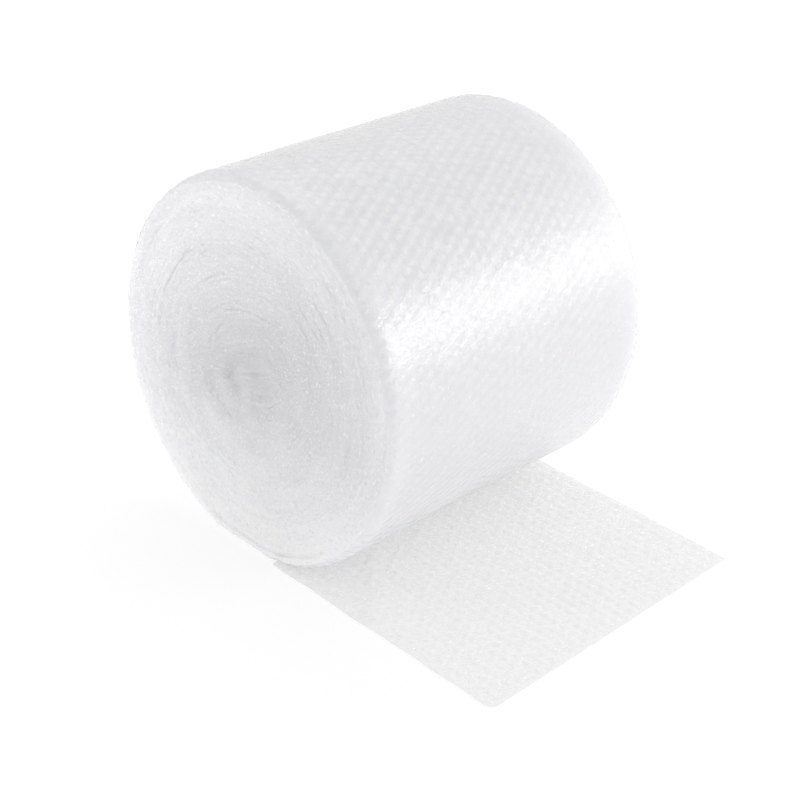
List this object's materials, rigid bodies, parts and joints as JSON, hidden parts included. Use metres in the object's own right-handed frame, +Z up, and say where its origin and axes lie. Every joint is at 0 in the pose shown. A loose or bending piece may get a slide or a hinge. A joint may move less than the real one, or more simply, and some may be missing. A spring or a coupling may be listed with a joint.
{
  "type": "bubble cushioning roll",
  "caption": "Soft roll of clear bubble cushioning film lying on its side, pressed a little flat underneath, with its loose end laid out on the floor.",
  "frame": {"origin": "on the floor, under the middle of the roll's axis, half way along the roll", "axes": "+X along the roll, -Y towards the loose end, +Z up"},
  "size_m": [0.3, 0.4469, 0.3387],
  "materials": {
    "film": "clear film, milky where many turns lie together"
  },
  "bodies": {
    "root": {"bubble_film": "film"}
  },
  "joints": []
}
